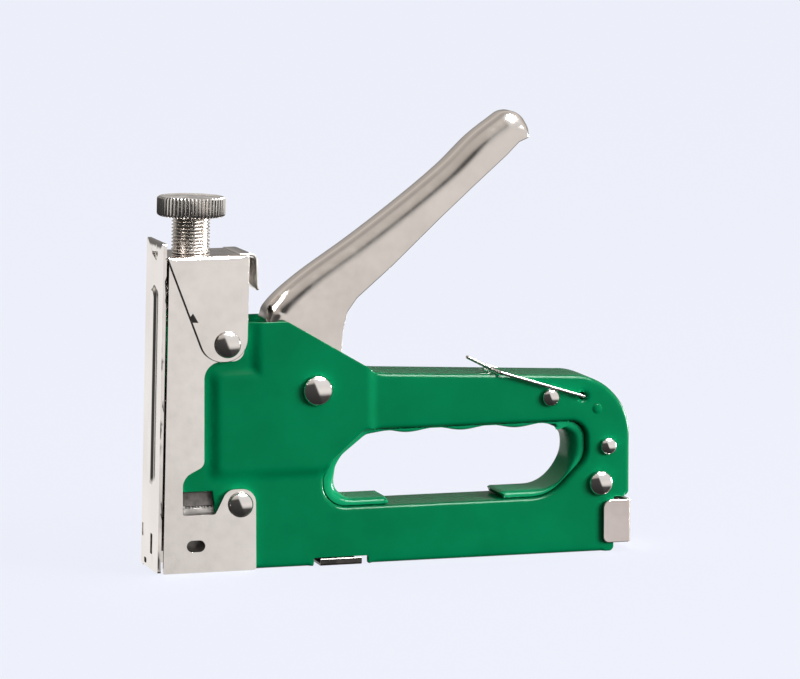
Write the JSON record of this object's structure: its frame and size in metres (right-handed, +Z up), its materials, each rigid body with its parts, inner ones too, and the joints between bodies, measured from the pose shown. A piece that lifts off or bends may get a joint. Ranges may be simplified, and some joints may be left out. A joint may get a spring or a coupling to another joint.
{
  "type": "staple gun",
  "caption": "Manual staple gun: green stamped body with hand opening, chromed nose, squeeze lever, tension knob, wire latch and pull-out pusher.",
  "frame": {"origin": "middle of the gun's footprint, on the plane that the base rests on", "axes": "+X from the nose towards the rear end cap, +Y towards the right side, +Z up"},
  "size_m": [0.173, 0.0326, 0.157],
  "materials": {
    "green_paint": "gloss enamel with slight orange peel",
    "liner_plastic": "satin",
    "chrome": "bright plated",
    "dark_steel": "blackened",
    "spring_steel": "plain",
    "black_rubber": "matt"
  },
  "bodies": {
    "frame": {"left_shell": "green_paint", "right_shell": "green_paint", "grip_liner": "liner_plastic", "left_nose_plate": "chrome", "right_nose_plate": "chrome", "front_plate": "chrome", "spring_cap": "chrome", "upper_nose_rivet": "chrome", "lower_nose_rivet": "chrome", "lever_pivot_rivet": "chrome", "handle_front_rivet": "chrome", "handle_rear_rivet": "chrome", "handle_corner_rivet": "chrome", "pivot_bush": "spring_steel", "bottom_clip": "dark_steel", "magazine_channel": "spring_steel", "staple_strip": "spring_steel", "bumper": "black_rubber", "bumper_plate": "spring_steel", "screw_bushing": "dark_steel", "main_spring": "spring_steel"},
    "lever": {"hand_lever": "chrome", "lift_pin": "spring_steel"},
    "hammer": {"striker": "dark_steel", "driver_blade": "spring_steel"},
    "seat": {"spring_seat": "spring_steel"},
    "knob": {"tension_knob": "chrome"},
    "latch": {"wire_latch": "chrome"},
    "pusher": {"end_cap": "chrome", "pusher_rail": "spring_steel", "pusher_spring": "spring_steel"},
    "follower": {"pusher_follower": "dark_steel"}
  },
  "joints": [
    {"name": "lever_squeeze", "type": "hinge", "parent": "frame", "child": "lever", "pos_m": [-0.02895, 0, 0.062], "axis": [0, 1, 0], "range_deg": [0, 33], "stiffness_Nm_per_rad": 3, "springref_deg": -14.32},
    {"name": "striker_lift", "type": "slide", "parent": "frame", "child": "hammer", "axis": [0.0262, 0, 0.9997], "range_m": [0, 0.0185], "deforming": ["main_spring"]},
    {"name": "knob_feed", "type": "slide", "parent": "frame", "child": "seat", "axis": [-0.0262, 0, -0.9997], "range_m": [0, 0.0036], "deforming": ["main_spring"]},
    {"name": "knob_turn", "type": "hinge", "parent": "seat", "child": "knob", "pos_m": [-0.07062, 0, 0.127], "axis": [-0.0262, 0, -0.9997], "range_deg": [0, 1080]},
    {"name": "latch_swing", "type": "hinge", "parent": "frame", "child": "latch", "pos_m": [0.06885, 0, 0.0559], "axis": [0, 1, 0], "range_deg": [0, 165]},
    {"name": "pusher_pull", "type": "slide", "parent": "frame", "child": "pusher", "axis": [1, 0, 0], "range_m": [0, 0.11]},
    {"name": "follower_feed", "type": "slide", "parent": "pusher", "child": "follower", "axis": [1, 0, 0], "range_m": [0, 0.05], "stiffness_N_per_m": 20, "springref_m": -0.05}
  ],
  "couplings": [
    {"joint": "striker_lift", "follows": "lever_squeeze", "m_per_rad": 0.031565},
    {"joint": "knob_turn", "follows": "knob_feed", "rad_per_m": 5236}
  ]
}
